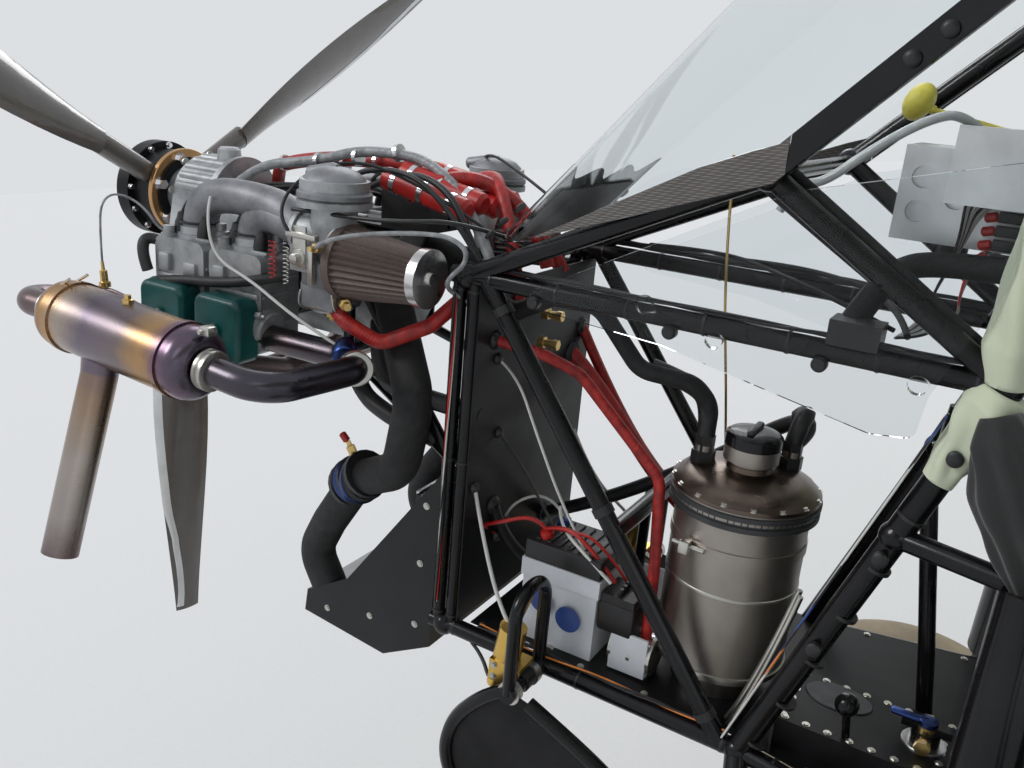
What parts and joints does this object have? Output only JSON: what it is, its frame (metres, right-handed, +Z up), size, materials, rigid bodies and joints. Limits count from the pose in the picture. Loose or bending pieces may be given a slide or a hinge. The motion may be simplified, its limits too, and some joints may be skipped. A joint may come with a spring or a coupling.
{
  "type": "ultralight aircraft",
  "caption": "Tandem high-wing ultralight aircraft with an open tube frame nose, open piston engine, balloon tyres and a steered tail wheel",
  "frame": {"origin": "on the ground under the middle of the aircraft's box", "axes": "+X to port, +Y aft, +Z up; the nose points along -Y"},
  "size_m": [8.6, 5.9666, 2.2101],
  "materials": {
    "black_tube": "gloss black powder coat",
    "black_sheet": "satin black",
    "aluminium": "plain mill finish",
    "steel": "spun stainless, heat tinted in places",
    "cast": "grey cast alloy, bead blasted",
    "fabric": "doped fabric, pale sage and cream",
    "glazing": "clear acrylic",
    "tyre_tan": "smooth tan balloon tyre",
    "rubber": "matt black rubber",
    "carbon": "lacquered carbon weave",
    "green_cover": "teal green powder coat",
    "red_sleeve": "red fire sleeve",
    "brass": "gold anodised",
    "filter": "oiled pleated gauze",
    "chrome": "polished",
    "plastic_white": "white case",
    "plastic_black": "moulded black",
    "upholstery": "black padded cloth"
  },
  "bodies": {
    "airframe": {"aft_fuselage": "fabric", "air_filters": "filter", "air_scoop": "plastic_black", "avionics_boxes": "aluminium", "battery": "plastic_white", "brake_cylinders": "brass", "carburettors": "cast", "controls": "black_tube", "coolant_hoses": "rubber", "crankcase": "cast", "cross_tubes": "black_tube", "cylinder_heads": "cast", "cylinders": "cast", "electric_boxes": "plastic_black", "engine_mount": "black_tube", "exhaust_pipes": "steel", "filter_caps": "chrome", "fin": "fabric", "firewall": "black_sheet", "floor_panels": "black_sheet", "fuel_pump": "chrome", "gear_legs": "black_tube", "instrument_panel": "black_sheet", "intake_manifolds": "cast", "lift_struts": "black_tube", "muffler": "steel", "oil_tank": "steel", "radiator": "plastic_black", "red_hoses": "red_sleeve", "rocker_covers": "green_cover", "roof_panel": "glazing", "seat_frames": "black_tube", "seat_pads": "upholstery", "shock_struts": "black_tube", "side_frame_left": "black_tube", "side_frame_right": "black_tube", "side_windows": "glazing", "stabilizer": "fabric", "tail_spring": "black_sheet", "tail_stays": "steel", "windscreen": "glazing", "wing_left": "fabric", "wing_right": "fabric"},
    "propeller": {"propeller_hub": "plastic_black", "propeller_blades": "carbon"},
    "wheel_left": {"tyre_left": "tyre_tan", "rim_left": "aluminium"},
    "wheel_right": {"tyre_right": "tyre_tan", "rim_right": "aluminium"},
    "tail_fork": {"tailwheel_fork": "black_tube"},
    "tail_wheel": {"tailwheel": "rubber"},
    "aileron_left": {"aileron_left": "fabric"},
    "aileron_right": {"aileron_right": "fabric"},
    "flap_left": {"flap_left": "fabric"},
    "flap_right": {"flap_right": "fabric"},
    "elevator": {"elevator": "fabric"},
    "rudder": {"rudder": "fabric"}
  },
  "joints": [
    {"name": "propeller_spin", "type": "hinge", "parent": "airframe", "child": "propeller", "pos_m": [0, -2.85105, 1.65052], "axis": [0, -0.9903, 0.1392], "continuous": true},
    {"name": "wheel_left_spin", "type": "hinge", "parent": "airframe", "child": "wheel_left", "pos_m": [0.75, -1.61581, 0.33], "axis": [1, 0, 0], "continuous": true},
    {"name": "wheel_right_spin", "type": "hinge", "parent": "airframe", "child": "wheel_right", "pos_m": [-0.75, -1.61581, 0.33], "axis": [1, 0, 0], "continuous": true},
    {"name": "tail_steer", "type": "hinge", "parent": "airframe", "child": "tail_fork", "pos_m": [0, 2.5488, 0.222], "axis": [0, 0, 1], "range_deg": [-30, 30]},
    {"name": "tail_wheel_spin", "type": "hinge", "parent": "tail_fork", "child": "tail_wheel", "pos_m": [0, 2.6188, 0.1], "axis": [1, 0, 0], "continuous": true},
    {"name": "aileron_left_hinge", "type": "hinge", "parent": "airframe", "child": "aileron_left", "pos_m": [3.1, -0.38427, 1.97941], "axis": [1, 0, 0], "range_deg": [-18, 25]},
    {"name": "aileron_right_hinge", "type": "hinge", "parent": "airframe", "child": "aileron_right", "pos_m": [-3.1, -0.38427, 1.97941], "axis": [1, 0, 0], "range_deg": [-25, 18]},
    {"name": "flap_left_hinge", "type": "hinge", "parent": "airframe", "child": "flap_left", "pos_m": [1.2, -0.38427, 1.97941], "axis": [-1, 0, 0], "range_deg": [0, 35]},
    {"name": "flap_right_hinge", "type": "hinge", "parent": "airframe", "child": "flap_right", "pos_m": [-1.2, -0.38427, 1.97941], "axis": [-1, 0, 0], "range_deg": [0, 35]},
    {"name": "elevator_hinge", "type": "hinge", "parent": "airframe", "child": "elevator", "pos_m": [0, 2.50357, 0.85657], "axis": [1, 0, 0], "range_deg": [-22, 28]},
    {"name": "rudder_hinge", "type": "hinge", "parent": "airframe", "child": "rudder", "pos_m": [0, 2.55534, 1.22496], "axis": [0, 0.1392, 0.9903], "range_deg": [-25, 25]}
  ],
  "couplings": [
    {"joint": "aileron_right_hinge", "follows": "aileron_left_hinge", "ratio": -1},
    {"joint": "flap_right_hinge", "follows": "flap_left_hinge", "ratio": 1}
  ]
}
